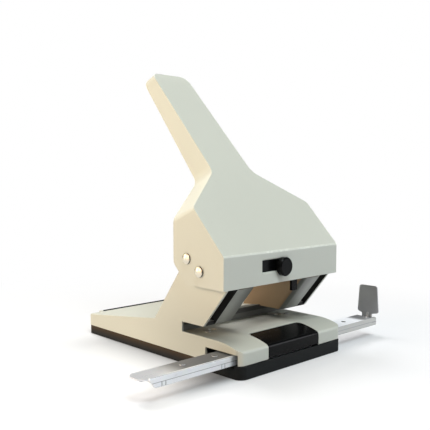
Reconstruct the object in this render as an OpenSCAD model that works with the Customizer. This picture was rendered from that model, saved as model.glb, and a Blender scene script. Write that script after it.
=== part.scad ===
// Heavy duty two hole punch.
// A pressed steel frame stands on a chip tray. A hood with a long lever turns on the frame's two arms
// and drives a pair of punches down through the paper table. A sliding rail with a stop sets the sheet.
// Depths are measured back from the front wall, heights up from the floor.

/* [Base] */
// Width over the frame's side walls
base_w = 124; // [121:1:140]
// Depth from the front wall to the rear wall
base_d = 200; // [185:1:230]
// Thickness of the pressed sheet in the frame, deck and handle
sheet_t = 2; // [1.5:0.1:2.4]
// Plan radius of the base's corners
corner_r = 6; // [4:0.5:8]
// Height of the lower edge of the frame's side walls
skirt_z = 8; // [7:0.5:9]
// Height of the paper table
table_z = 25.5; // [25:0.5:30]
// Depth over which the table curves down to the front
curve_d = 25; // [20:1:30]
// Drop of the table at its front edge
curve_drop = 4.8; // [3:0.2:5.4]
// Bend radius where the table meets the front wall
edge_r = 3; // [2:0.5:4]
// Height of the rear deck at the paper throat
deck_front_z = 34.5; // [34:0.5:40]
// Height of the rear deck at the rear wall
deck_rear_z = 17.5; // [16:0.5:22]

/* [Throat and arms] */
// Depth of the paper's back stop
stop_d = 64; // [60:1:68]
// Height of the paper throat
throat_h = 8; // [6:0.5:9]
// How far the arms' front foot stands ahead of the back stop
arm_front_out = 24.8; // [23:0.2:28]
// How far the arms' rear foot stands behind the back stop
arm_back_out = 34.8; // [28:0.2:44]
// Thickness of the punch guides' sheet
guide_t = 1.5; // [1:0.1:2]
// Thickness of the guides' bottom plates
plate_t = 3; // [2:0.5:4]
// Width of a guide from the punch axis to its inner edge
guide_in_w = 9; // [8:0.5:11]
// Width of a guide from the punch axis to its outer wall
guide_out_w = 10; // [9:0.5:11]
// How far the guides' inner cheeks reach behind the back stop
cheek_out = 20.7; // [15:0.1:25]

/* [Punches] */
// Distance between the two holes
hole_pitch = 80; // [76:0.5:82]
// Distance from the sheet's edge to the holes
hole_inset = 12; // [11:0.5:13]
// Diameter of the punches
pin_d = 6; // [5:0.1:6.5]
// Diameter of the punch heads
pin_head_d = 12; // [11:0.5:13]
// Thickness of the punch heads
pin_head_t = 3; // [2:0.5:4]
// Outside diameter of the guide bushes
bush_d = 12; // [11:0.5:13]
// Height of the guide bushes
bush_h = 14; // [10:1:18]
// Mean diameter of the return springs
spring_d = 10; // [9:0.5:10.5]
// Wire diameter of the return springs
spring_wire = 1.4; // [1:0.1:1.6]
// Turns in each return spring
spring_turns = 8; // [6:1:9]
// Thickness of the die plate
die_t = 3; // [2:0.5:4]
// Depth of the die plate ahead of and behind the punch axes
die_reach = 11; // [9:0.5:11.5]
// Gap between the die plate and the frame's side walls
die_gap = 2; // [1:0.5:3]

/* [Handle] */
// Height of the pivot pin
pivot_z = 76.7; // [75:0.1:80]
// Distance from the pivot pin to the drive pin
drive_r = 16.8; // [16:0.1:17.2]
// Angle of the drive pin above the pivot at rest
drive_rise = 31; // [28:1:33]
// Swing of the handle
stroke = 46; // [40:1:48]
// Diameter of the pivot pin
pivot_pin_d = 8; // [6:0.5:9]
// Diameter of the drive pin
drive_pin_d = 7; // [6:0.5:7.5]
// Diameter of the rollers on the drive pin
roller_d = 13; // [12:0.5:14]
// Width of the rollers on the drive pin
roller_w = 12; // [8:0.5:13]
// Diameter of the pins' domed heads
dome_d = 9.6; // [9:0.2:11]
// Height of the pins' domed heads
dome_h = 2.2; // [1.6:0.2:3]
// Gap between the arms and the hood's side walls
hood_gap = 4.5; // [3:0.5:6]
// Distance from the pivot pin to the hood's front face
hood_reach = 25.9; // [25:0.1:26.5]
// Height of the hood's lower edge
hood_low_z = 65; // [64:0.5:66]
// Height of the hood's front face
hood_front_h = 25; // [24:0.5:28]
// Depth of the hood's side walls
hood_side_d = 56; // [52:1:60]
// Height of the cut at the hood's rear lower corner
hood_cut_h = 15.6; // [12:0.2:18]
// Depth of the cut at the hood's rear lower corner
hood_cut_d = 15.3; // [12:0.1:18]
// Slope of the hood's top and the lever
slope = 46.5; // [44:0.5:48]
// Draw angle of the shoulder walls below the horizontal
draw = 24; // [20:1:28]
// Length up the slope to the shoulders
shoulder_s = 48.2; // [44:0.2:52]
// Length up the slope to the lever's neck
neck_s = 85.4; // [80:0.2:92]
// Length up the slope to the lever's end
lever_s = 210; // [180:1:240]
// Width of the lever at the neck
neck_w = 47; // [42:0.5:54]
// Width of the lever at its end
lever_w = 41.6; // [36:0.2:46]
// Wall depth at the shoulders
shoulder_depth = 23.8; // [20:0.2:26]
// Wall depth at the neck
neck_depth = 21.2; // [18:0.2:24]
// Wall depth at the lever's end
lever_depth = 13.7; // [10:0.1:18]
// Radius of the bends at the shoulders
shoulder_r = 6; // [4:0.5:10]
// Radius of the bends at the neck
neck_r = 14; // [8:1:20]
// Radius of the lever's end corners
lever_end_r = 10; // [6:0.5:14]

/* [Lock] */
// Height of the lock slot above the hood's lower edge
lock_h = 14.1; // [13.5:0.1:14.5]
// Height of the lock slot
lock_slot_h = 9.4; // [8:0.2:10]
// Right end of the lock slot
lock_slot_right = 3; // [0:0.5:6]
// Travel of the lock
lock_travel = 17; // [10:0.5:18]
// Diameter of the lock knob
knob_d = 15; // [13:0.5:16]
// How far the lock knob stands out
knob_t = 4.5; // [3:0.5:6]
// How far the lock knob hangs below the slot's middle
knob_drop = 1.7; // [0:0.1:2.2]
// Thickness of the lock slider
slider_t = 2.3; // [1.5:0.1:2.5]
// Length of the leg below the lock slider
leg_h = 17; // [10:0.5:18]
// Width of the leg below the lock slider
leg_w = 6.6; // [5:0.2:10]
// Distance from the lock knob's axis to the leg's right side
leg_reach = 21.4; // [18:0.1:24]
// Distance from the lock knob's axis to the lock slider's right end
slider_reach = 28.3; // [25:0.1:30]

/* [Rail and clamp] */
// Left end of the rail's channel
rail_left = -140; // [-150:1:-120]
// Distance of the stop plate to the right
rail_right = 122.5; // [110:0.5:130]
// How far the rail's channel reaches past the stop plate
rail_past = 4.5; // [2:0.1:6]
// Depth of the rail's front face
rail_front_d = 6.5; // [6.4:0.1:7]
// Width of the rail
rail_w = 18; // [16:0.5:18]
// Height of the rail's underside
rail_low_z = 10.4; // [10:0.1:11]
// Distance from the rail's left end to its first rivet
rail_rivet_in = 37.3; // [20:0.1:40]
// Distance between the rail's rivets
rail_rivet_step = 31; // [25:0.5:45]
// Height of the rail's channel up to the stop strip
rail_h = 5.8; // [5:0.1:6]
// Thickness of the stop strip
strip_t = 1.2; // [1:0.1:1.3]
// Wall thickness of the rail's channel
rail_t = 1.5; // [1.2:0.1:2]
// Height of the stop plate
flag_h = 24.7; // [18:0.1:30]
// Width of the stop plate at its foot
flag_w = 22; // [18:0.5:26]
// Width of the stop plate at its top
flag_top_w = 18.4; // [12:0.2:20]
// Width of the neck under the stop plate
flag_neck_w = 12.4; // [9:0.2:14]
// Height of the neck under the stop plate
flag_neck_h = 5; // [4:0.5:8]
// Half width of the clamp flap
clamp_half = 30.5; // [27:0.5:33]
// Depth of the clamp's hinge pin
clamp_pin_depth = 21.3; // [20:0.1:22]
// Diameter of the clamp and tray hinge pins
hinge_pin_d = 1.6; // [1.2:0.1:1.8]
// Outside diameter of the hinge knuckles
knuckle_d = 3.2; // [2.8:0.1:3.4]
// Wall thickness of the clamp flap
clamp_t = 2.2; // [1.6:0.1:2.4]
// Plan radius of the rear corners of the clamp's window
clamp_r = 5; // [3:0.5:6]

/* [Chip tray] */
// How far the tray's front stands proud of the frame
tray_proud = 0.9; // [0.5:0.1:3]
// Wall thickness of the tray
tray_wall = 2.6; // [2.2:0.1:3]
// Floor thickness of the tray
tray_floor = 2; // [1.5:0.1:2.5]
// Height of the tray's front lip
tray_lip_z = 10; // [9.5:0.1:10.5]
// Width of the tray's rear tongue
tongue_w = 88; // [60:1:100]
// Thickness of the tray's rear tongue
tongue_t = 2; // [1.5:0.1:2.5]

/* [Hidden] */
$fn = 48;

// Clearances: a fixed fit, a running fit, a sliding gap and a cut that runs past a face
fixed = 0.03;
running = 0.05;
gap = 0.3;
past = 1;

// Colours
paint = [0.80, 0.81, 0.77];
zinc = [0.80, 0.81, 0.82];
steel = [0.62, 0.63, 0.64];
black = [0.07, 0.07, 0.075];
brass = [0.75, 0.62, 0.35];

// Frame
half_w = base_w / 2;
inner_half = half_w - sheet_t;
under_z = table_z - sheet_t;
throat_z = table_z + throat_h;
lip_gap = 0.5;
front_low_z = tray_lip_z + lip_gap;
step_back = stop_d + sheet_t;
arm_front_d = stop_d - arm_front_out;
arm_back_d = stop_d + arm_back_out;
curve_steps = 8;
arc_steps = 6;

// Punches and the pins that drive them
pin_x = hole_pitch / 2;
pin_y = stop_d - hole_inset;
guide_x = pin_x + guide_out_w;
pivot_y = pin_y - drive_r * (1 + cos(drive_rise)) / 2;
drive_y = pivot_y + drive_r * cos(drive_rise);
drive_z = pivot_z + drive_r * sin(drive_rise);
tip_rise = 1;
pin_tip_z = throat_z + tip_rise;
roller_gap = 0.2;
pin_top_z = drive_z - roller_d / 2 - roller_gap;
pin_head_z = pin_top_z - pin_head_t;
bush_top_z = throat_z + bush_h;
die_hole_gap = 0.4;
rivet_out = 8;
rivet_ahead = 3;
rivet_x = pin_x + rivet_out;
rivet_y = pin_y - rivet_ahead;
rivet_d = 3.2;
rivet_head_d = 4.6;
rivet_head_h = 0.6;

// Arms
hood_front_d = pivot_y - hood_reach;
hood_inner_d = hood_front_d + sheet_t;
arm_clear = 0.9;
arm_head_r = pivot_y - hood_inner_d - arm_clear;
lean_clear = 1.7;
lean_end_y = hood_inner_d + lean_clear;
lean = 0.83;
lean_end_z = throat_z + (arm_front_d - lean_end_y) / lean;
cheek_lean = 0.56;
cheek_back_d = stop_d + cheek_out;
arm_reach = [arm_back_d - pivot_y, deck_z(arm_back_d) - pivot_z];
tangent_a = atan2(arm_reach.y, arm_reach.x) + acos(arm_head_r / norm(arm_reach));
arm_tangent = [pivot_y + arm_head_r * cos(tangent_a), pivot_z + arm_head_r * sin(tangent_a)];
arm_foot = [arm_back_d, deck_z(arm_back_d)];
slot_spare = 3;

// Handle
hood_half = half_w + hood_gap + sheet_t;
hood_in = hood_half - sheet_t;
hood_top_z = hood_low_z + hood_front_h;
hood_back = hood_front_d + hood_side_d;
bend_r = 3;
lever_past = 30;

// Lock
lock_z = hood_low_z + lock_h;
stem_w = 12;
stem_x = lock_slot_right - gap - stem_w / 2;
lock_slot_left = stem_x - stem_w / 2 - lock_travel - gap;
slider_lap = 1.6;
slider_h = lock_slot_h + 2 * slider_lap;
slider_y = hood_inner_d + gap;
slider_past = 2;
slider_left = lock_slot_left - slider_past;
slider_right = stem_x + slider_reach;
leg_right = stem_x + leg_reach;
strap_t = 1.2;
strap_w = 6;
strap_foot = 2.6;
strap_near = strap_w / 2 + 2 * gap + max(0, lock_travel + leg_w - leg_reach);
strap_far = 22;
strap_xs = [stem_x - strap_far, stem_x - strap_near];
peg_d = 4;

// Rail and clamp
strip_z = rail_low_z + rail_h;
rail_top_z = strip_z + strip_t;
rail_back_d = rail_front_d + rail_w;
strip_gap = 0.2;
strip_front_d = rail_front_d + rail_t + strip_gap;
strip_past = 5;
strip_left = rail_left - strip_past;
strip_mid_d = (strip_front_d + rail_back_d) / 2;
rail_rivet_xs = [rail_left + rail_rivet_in, rail_left + rail_rivet_in + rail_rivet_step];
rail_rivet_d = 2.4;
rail_rivet_head_d = 4.4;
rail_rivet_head_h = 0.5;
lip_h = 0.3;
window_over = 0.7;
window_ahead = 3.5;
window_behind = 12.2;
window_top_z = rail_top_z + lip_h + window_over;
window_front_d = rail_front_d - window_ahead;
window_back_d = rail_back_d + window_behind;
clamp_pin_z = table_z - knuckle_d / 2;
clamp_back_d = clamp_pin_depth + knuckle_d / 2 + gap;
clamp_side = 0.4;
clamp_cut = clamp_half + clamp_side;
clamp_ease = 1.5;
clamp_lift = 1.5;
clamp_low_z = tray_lip_z + clamp_lift;
ear_w = 3;
bracket_in = 2.5;
bracket_half = clamp_half - bracket_in;

// Chip tray
tray_gap = 0.2;
tray_top_z = skirt_z - tray_gap;
tray_r = corner_r + tray_proud;
tray_pin_y = base_d + gap + knuckle_d / 2;
tray_pin_drop = 0.9;
tray_pin_z = deck_rear_z - tray_pin_drop;
tongue_half = tongue_w / 2;

// Height of the table at a depth from the front
function table_top(y) = table_z - (y < curve_d ? curve_drop * pow((curve_d - y) / curve_d, 2) : 0);

// Height of the rear deck at a depth from the front
function deck_z(y) = deck_front_z + (deck_rear_z - deck_front_z) * (y - stop_d) / (base_d - stop_d);

// Point on the hood: a length up the slope from the front edge and a depth below the top
function on_slope(s, depth) = [hood_front_d + s * cos(slope) + depth * sin(slope),
    hood_top_z + s * sin(slope) - depth * cos(slope)];

// Height of a slope length in the plane that faces the draw direction
function draw_v(s) = let (p = on_slope(s, 0)) p.x * sin(draw) + p.y * cos(draw);

// An outline with its corners rounded, one radius a corner
function unit(v) = v / norm(v);
function corner_arc(a, p, b, r) =
    let (u = unit(a - p), w = unit(b - p), half = acos(u * w) / 2, c = p + unit(u + w) * r / sin(half),
        s = p + u * r / tan(half) - c, e = p + w * r / tan(half) - c,
        from = atan2(s.y, s.x), turn = (atan2(e.y, e.x) - from + 540) % 360 - 180)
    [for (i = [0 : arc_steps]) c + r * [cos(from + turn * i / arc_steps), sin(from + turn * i / arc_steps)]];
function rounded(pts, radii) =
    let (n = len(pts))
    [for (i = [0 : n - 1])
        each radii[i] > 0 ? corner_arc(pts[(i + n - 1) % n], pts[i], pts[(i + 1) % n], radii[i]) : [pts[i]]];

// An outline moved inwards, one distance an edge
function left_of(u) = [-u.y, u.x];
function inset(pts, moves) =
    let (n = len(pts))
    [for (i = [0 : n - 1])
        let (u = unit(pts[i] - pts[(i + n - 1) % n]), w = unit(pts[(i + 1) % n] - pts[i]),
            p = pts[i] + left_of(u) * moves[(i + n - 1) % n], q = pts[i] + left_of(w) * moves[i])
        p + u * cross(q - p, w) / cross(u, w)];

// Moves a piece drawn from the front wall into the part's frame
module from_front() {
    translate([0, -base_d / 2, 0]) children();
}

// Both sides of the punch
module both() {
    children();
    mirror([1, 0, 0]) children();
}

// A depth and height outline carried across the width, from one side to another
module across(x0, x1) {
    translate([x0, 0, 0]) rotate([90, 0, 90]) linear_extrude(x1 - x0) children();
}

// A round bar along the width
module bar(x0, x1, y, z, d) {
    translate([x0, y, z]) rotate([0, 90, 0]) cylinder(d = d, h = x1 - x0);
}

// A box from its low corner to its high corner
module box(a, b) {
    translate(a) cube(b - a);
}

// A plan rectangle with round corners, drawn out in height
module rounded_block(x, y0, y1, z0, z1, r) {
    translate([0, 0, z0]) linear_extrude(z1 - z0)
        polygon(rounded([[-x, y0], [x, y0], [x, y1], [-x, y1]], [r, r, r, r]));
}

// Side outline of the table, from its front wall to the deck's line
function table_curve(y0, y1, drop) =
    [for (i = [0 : curve_steps]) let (y = y0 + (y1 - y0) * i / curve_steps) [y, table_top(y) - drop]];
function base_outline() =
    let (curve = table_curve(0, curve_d, 0),
        pts = concat([[0, skirt_z]], curve, [[stop_d, table_z], [stop_d, deck_front_z],
            [base_d, deck_rear_z], [base_d, skirt_z]]))
    rounded(pts, [for (i = [0 : len(pts) - 1]) i == 1 ? edge_r : 0]);
function base_hollow() =
    concat([[sheet_t, -past]], table_curve(sheet_t, curve_d, sheet_t), [[step_back, under_z],
        [step_back, table_z], [stop_d, table_z], [stop_d, deck_front_z + past],
        [base_d + past, deck_front_z + past], [base_d + past, -past]]);

// Outline of an arm above a given foot line, with its round head
module arm_outline(foot) {
    polygon(concat(foot, [[arm_front_d, throat_z], [lean_end_y, lean_end_z],
        [pivot_y - arm_head_r, pivot_z], [pivot_y, pivot_z + arm_head_r / 2], arm_tangent, arm_foot]));
    translate([pivot_y, pivot_z]) circle(arm_head_r);
}

// Curved slot that the drive pin swings through, with the pivot pin's hole
module arm_holes() {
    slot_half = drive_pin_d / 2 + gap;
    a0 = drive_rise - stroke - slot_spare;
    a1 = drive_rise + slot_spare;
    reach = 2 * drive_r;
    translate([pivot_y, pivot_z]) {
        circle(d = pivot_pin_d + 2 * fixed);
        intersection() {
            difference() {
                circle(drive_r + slot_half);
                circle(drive_r - slot_half);
            }
            polygon([[0, 0], reach * [cos(a0), sin(a0)], reach * [1, 0], reach * [cos(a1), sin(a1)]]);
        }
        for (a = [a0, a1]) translate(drive_r * [cos(a), sin(a)]) circle(slot_half);
    }
}

module frame() {
    color(paint) from_front() difference() {
        union() {
            difference() {
                intersection() {
                    across(-half_w, half_w) polygon(base_outline());
                    rounded_block(half_w, 0, base_d, 0, deck_front_z + past, corner_r);
                }
                intersection() {
                    across(-half_w, half_w) polygon(base_hollow());
                    rounded_block(inner_half, sheet_t, base_d + 2 * corner_r, -past, deck_front_z + 2 * past,
                        corner_r - sheet_t);
                }
            }
            both() {
                across(inner_half, half_w) difference() {
                    arm_outline([[arm_back_d, deck_rear_z], [stop_d, deck_rear_z], [stop_d, throat_z]]);
                    arm_holes();
                }
                box([clamp_cut, clamp_pin_depth - knuckle_d / 2, clamp_pin_z - knuckle_d / 2],
                    [clamp_cut + ear_w, clamp_back_d + past, clamp_pin_z + hinge_pin_d / 4]);
            }
        }
        box([-half_w - past, -past, 0], [half_w + past, corner_r, front_low_z]);
        box([-half_w - past, window_front_d, 0], [half_w + past, window_back_d, window_top_z]);
        rounded_block(clamp_cut, -2 * clamp_r, clamp_back_d, 0, table_z + past, clamp_r);
        bar(-clamp_cut - ear_w, clamp_cut + ear_w, clamp_pin_depth, clamp_pin_z, hinge_pin_d + 2 * fixed);
        both() {
            translate([pin_x, pin_y, 0]) cylinder(d = pin_d + 2 * die_hole_gap, h = table_z + past);
            translate([rivet_x, rivet_y, 0]) cylinder(d = rivet_d + 2 * fixed, h = table_z + past);
        }
    }
}

module rear_deck() {
    outline = [[stop_d, table_z], [stop_d, deck_front_z], [base_d, deck_rear_z], [base_d, skirt_z],
        [base_d - sheet_t, skirt_z], [base_d - sheet_t, deck_z(base_d - sheet_t) - sheet_t],
        [step_back, deck_z(step_back) - sheet_t], [step_back, table_z]];
    color(paint) from_front() difference() {
        union() {
            intersection() {
                across(-inner_half, inner_half) polygon(outline);
                rounded_block(half_w, 0, base_d, 0, deck_front_z + past, corner_r);
            }
            both() {
                bar(tongue_half + gap, tongue_half + gap + ear_w, tray_pin_y, tray_pin_z, knuckle_d);
                box([tongue_half + gap, base_d - sheet_t / 2, tray_pin_z - knuckle_d / 2],
                    [tongue_half + gap + ear_w, tray_pin_y, tray_pin_z]);
            }
        }
        bar(-half_w, half_w, tray_pin_y, tray_pin_z, hinge_pin_d + 2 * fixed);
    }
}

module die_plate() {
    half = inner_half - die_gap;
    color(steel) from_front() difference() {
        box([-half, pin_y - die_reach, under_z - die_t], [half, pin_y + die_reach, under_z]);
        both() {
            translate([pin_x, pin_y, 0]) cylinder(d = pin_d + 2 * running, h = table_z);
            translate([rivet_x, rivet_y, 0]) cylinder(d = rivet_d + 2 * fixed, h = table_z);
        }
    }
}

// One rivet: a stem with a flat head at each end
module rivet(d, head_d, head_h, z0, z1) {
    translate([0, 0, z0 - head_h]) cylinder(d = d, h = z1 - z0 + 2 * head_h);
    translate([0, 0, z0 - head_h]) cylinder(d = head_d, h = head_h);
    translate([0, 0, z1]) cylinder(d = head_d, h = head_h);
}

module die_rivets() {
    color(steel) from_front() both()
        translate([rivet_x, rivet_y, 0])
            rivet(rivet_d, rivet_head_d, rivet_head_h, under_z - die_t, table_z);
}

// Guide of the right punch: inner arm wall, slanted strip, inner cheek, bottom plate and rear web
module punch_guide() {
    run = guide_t * norm([1, lean]);
    strip_x = pin_x - guide_in_w;
    foot = [arm_front_d, throat_z];
    top = [lean_end_y, lean_end_z];
    cheek_top = [cheek_back_d - cheek_lean * (lean_end_z - throat_z), lean_end_z];
    cheek_foot = [cheek_back_d, deck_z(cheek_back_d)];
    web_in = 3;
    web_share = 0.7;
    web_low = arm_back_d - web_in;
    web_top = arm_foot + web_share * (arm_tangent - arm_foot) - [web_in, 0];
    color(paint) from_front() difference() {
        union() {
            across(guide_x - guide_t, guide_x) difference() {
                arm_outline([[stop_d, deck_front_z], [stop_d, throat_z]]);
                arm_holes();
            }
            across(strip_x, guide_x) polygon([foot, top, top + [run, 0], foot + [run, 0]]);
            across(strip_x, strip_x + guide_t)
                polygon([foot, top, cheek_top, cheek_foot, [stop_d, deck_front_z], [stop_d, throat_z]]);
            box([strip_x, arm_front_d, throat_z], [inner_half, stop_d, throat_z + plate_t]);
            across(guide_x, inner_half)
                polygon([[web_low, deck_z(web_low)], web_top, web_top - [run, 0],
                    [web_low - run, deck_z(web_low - run)]]);
        }
        translate([pin_x, pin_y, 0]) cylinder(d = bush_d + 2 * fixed, h = throat_z + plate_t + past);
    }
}

module punch_guide_left() {
    mirror([1, 0, 0]) punch_guide();
}

module punch_guide_right() {
    punch_guide();
}

module guide_bush(side) {
    color(brass) from_front() translate([side * pin_x, pin_y, throat_z]) difference() {
        cylinder(d = bush_d, h = bush_h);
        translate([0, 0, -past]) cylinder(d = pin_d + 2 * running, h = bush_h + 2 * past);
    }
}

// Return spring: one round wire wound from the bush up to the punch head
spring_rings = 8;
spring_sides = 6;
spring_seat = 0.05;
spring_low = bush_top_z + spring_seat + spring_wire / 2;
spring_high = pin_head_z - spring_seat - spring_wire / 2;
function spring_at(t) = [spring_d / 2 * cos(360 * t), spring_d / 2 * sin(360 * t),
    spring_low + (spring_high - spring_low) * t / spring_turns];
spring_line = [for (i = [0 : spring_rings * spring_turns]) spring_at(i / spring_rings)];
spring_gap = min([for (i = [0 : len(spring_line) - 1], j = [0 : len(spring_line) - 1])
    if (j - i >= spring_rings / 2) norm(spring_line[i] - spring_line[j])]) - spring_wire;
echo("least gap in a return spring", spring_gap);

module return_spring(side) {
    n = len(spring_line);
    points = [for (i = [0 : n - 1], k = [0 : spring_sides - 1])
        let (t = 360 * i / spring_rings, a = 360 * k / spring_sides)
        spring_line[i] + spring_wire / 2 * [cos(a) * cos(t), cos(a) * sin(t), sin(a)]];
    tube = [for (i = [0 : n - 2], k = [0 : spring_sides - 1])
        let (a = i * spring_sides + k, b = i * spring_sides + (k + 1) % spring_sides)
        each [[a, a + spring_sides, b], [b, a + spring_sides, b + spring_sides]]];
    start = [for (k = [1 : spring_sides - 2]) [0, k, k + 1]];
    last = (n - 1) * spring_sides;
    finish = [for (k = [1 : spring_sides - 2]) [last, last + k + 1, last + k]];
    color(steel) from_front() translate([side * pin_x, pin_y, 0])
        polyhedron(points, concat(tube, start, finish));
}

// A pin across the hood with a domed head at each end
module domed_pin(y, z, d, half) {
    ball = (pow(dome_d / 2, 2) + pow(dome_h, 2)) / (2 * dome_h);
    bar(-half, half, y, z, d);
    both() intersection() {
        translate([half - ball + dome_h, y, z]) sphere(ball, $fn = 96);
        box([half, y - dome_d, z - dome_d], [half + dome_d, y + dome_d, z + dome_d]);
    }
}

module pivot_pin() {
    color(zinc) from_front() domed_pin(pivot_y, pivot_z, pivot_pin_d, hood_half + gap);
}

module pivot_bushes() {
    color(brass) from_front() both() difference() {
        bar(half_w, hood_in - gap, pivot_y, pivot_z, 2 * pivot_pin_d);
        bar(inner_half, hood_half, pivot_y, pivot_z, pivot_pin_d + 2 * fixed);
    }
}

module rail_bracket() {
    t = 1.5;
    side_gap = 0.7;
    front = rail_front_d - side_gap;
    back = max(rail_back_d + side_gap, curve_d);
    floor_z = rail_low_z - gap;
    lip_top = rail_low_z + 3.5;
    tab = 8;
    outline = [[front - t, lip_top], [front - t, floor_z - t], [back + t, floor_z - t],
        [back + t, under_z - t], [back + tab, under_z - t], [back + tab, under_z], [back, under_z],
        [back, floor_z], [front, floor_z], [front, lip_top]];
    color(steel) from_front() across(-bracket_half, bracket_half) polygon(outline);
}

module clamp_pin() {
    color(steel) from_front()
        bar(-clamp_cut - ear_w, clamp_cut + ear_w, clamp_pin_depth, clamp_pin_z, hinge_pin_d);
}

module tray_pin() {
    reach = tongue_half + gap + ear_w;
    color(steel) from_front() bar(-reach, reach, tray_pin_y, tray_pin_z, hinge_pin_d);
}

// Hood and lever: one drawn sheet, open below and behind
function on_draw(s, depth) = on_slope(s + depth / tan(slope + draw), depth);
function hood_side() =
    let (neck = on_draw(neck_s, neck_depth), tip = on_draw(lever_s, lever_depth),
        pts = [[hood_front_d, hood_low_z], [hood_back - hood_cut_d, hood_low_z],
            [hood_back, hood_low_z + hood_cut_h], on_draw(shoulder_s, shoulder_depth), neck,
            tip + lever_past * unit(tip - neck), on_slope(lever_s + lever_past, 0),
            [hood_front_d, hood_top_z]])
    rounded(pts, [0, shoulder_r, shoulder_r, shoulder_r, neck_r, 0, 0, bend_r]);
function hood_hollow() =
    let (far = lever_s + lever_past, s = sheet_t * (1 - sin(slope)) / cos(slope))
    [[hood_inner_d, -far], on_slope(far, 2 * far), on_slope(far, sheet_t), on_slope(s, sheet_t)];
hood_plan = [[hood_half, 0], [hood_half, draw_v(shoulder_s)], [neck_w / 2, draw_v(neck_s)],
    [lever_w / 2, draw_v(lever_s)], [-lever_w / 2, draw_v(lever_s)], [-neck_w / 2, draw_v(neck_s)],
    [-hood_half, draw_v(shoulder_s)], [-hood_half, 0]];

// A plan outline carried along the draw direction
module drawn(pts) {
    rotate([90 - draw, 0, 0]) linear_extrude(4 * lever_s, center = true) polygon(pts);
}

module handle() {
    t = sheet_t;
    inner_plan = inset(hood_plan, [t, t, t, t, t, t, t, -lever_past]);
    color(paint) from_front() difference() {
        intersection() {
            across(-hood_half, hood_half) polygon(hood_side());
            drawn(rounded(hood_plan, [0, shoulder_r, neck_r, lever_end_r, lever_end_r, neck_r,
                shoulder_r, 0]));
        }
        intersection() {
            across(-hood_in, hood_in) polygon(hood_hollow());
            drawn(rounded(inner_plan, [0, shoulder_r - t, neck_r + t, lever_end_r - t, lever_end_r - t,
                neck_r + t, shoulder_r - t, 0]));
        }
        box([lock_slot_left, hood_front_d - past, lock_z - lock_slot_h / 2],
            [lock_slot_right, hood_inner_d + past, lock_z + lock_slot_h / 2]);
        bar(-hood_half - past, hood_half + past, pivot_y, pivot_z, pivot_pin_d + 2 * running);
        bar(-hood_half - past, hood_half + past, drive_y, drive_z, drive_pin_d + 2 * fixed);
    }
}

module drive_pin() {
    color(zinc) from_front() domed_pin(drive_y, drive_z, drive_pin_d, hood_half);
}

module drive_rollers() {
    color(steel) from_front() both() difference() {
        bar(pin_x - roller_w / 2, pin_x + roller_w / 2, drive_y, drive_z, roller_d);
        bar(0, hood_half, drive_y, drive_z, drive_pin_d + 2 * fixed);
    }
}

// Straps behind the hood's front that the lock slider runs in
module lock_straps() {
    y0 = hood_inner_d;
    y1 = slider_y + slider_t + gap;
    low = lock_z - slider_h / 2 - gap;
    high = lock_z + slider_h / 2 + gap;
    outline = [[y0, high + strap_foot], [y0, high], [y1, high], [y1, low], [y0, low], [y0, low - strap_foot],
        [y0 + strap_t, low - strap_foot], [y0 + strap_t, low - strap_t], [y1 + strap_t, low - strap_t],
        [y1 + strap_t, high + strap_t], [y0 + strap_t, high + strap_t], [y0 + strap_t, high + strap_foot]];
    color(steel) from_front()
        for (x = strap_xs) across(x - strap_w / 2, x + strap_w / 2) polygon(outline);
}

module lock_slider() {
    low = lock_z - slider_h / 2;
    color(black) from_front() difference() {
        union() {
            box([slider_left, slider_y, low], [slider_right, slider_y + slider_t, lock_z + slider_h / 2]);
            box([leg_right - leg_w, slider_y, low - leg_h], [leg_right, slider_y + slider_t, low]);
        }
        translate([stem_x, slider_y - past, lock_z]) rotate([-90, 0, 0])
            cylinder(d = peg_d + 2 * fixed, h = slider_t + 2 * past);
    }
}

module lock_knob() {
    edge = 1;
    face = hood_front_d - gap;
    stem_h = lock_slot_h - 2 * gap;
    color(black) from_front() {
        translate([stem_x, face, lock_z - knob_drop]) rotate([90, 0, 0]) {
            cylinder(d = knob_d, h = knob_t - edge);
            translate([0, 0, knob_t - edge]) cylinder(d1 = knob_d, d2 = knob_d - 2 * edge, h = edge);
        }
        box([stem_x - stem_w / 2, face - past, lock_z - stem_h / 2],
            [stem_x + stem_w / 2, slider_y, lock_z + stem_h / 2]);
        translate([stem_x, slider_y - past, lock_z]) rotate([-90, 0, 0])
            cylinder(d = peg_d, h = slider_t + past);
    }
}

// A punch with its flat head and the notched cutting end
module punch_pin(side) {
    notch = pin_d / 2 - 0.4;
    notch_h = 1.6;
    color(zinc) from_front() translate([side * pin_x, 0, 0]) difference() {
        translate([0, pin_y, 0]) {
            translate([0, 0, pin_tip_z]) cylinder(d = pin_d, h = pin_head_z - pin_tip_z + past);
            translate([0, 0, pin_head_z]) cylinder(d = pin_head_d, h = pin_head_t);
        }
        across(-pin_d, pin_d) polygon([[pin_y - notch, pin_tip_z - past], [pin_y - notch, pin_tip_z],
            [pin_y, pin_tip_z + notch_h], [pin_y + notch, pin_tip_z], [pin_y + notch, pin_tip_z - past]]);
    }
}

// A front view outline carried from front to back
module through(y0, y1) {
    translate([0, y1, 0]) rotate([90, 0, 0]) linear_extrude(y1 - y0) children();
}

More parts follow.
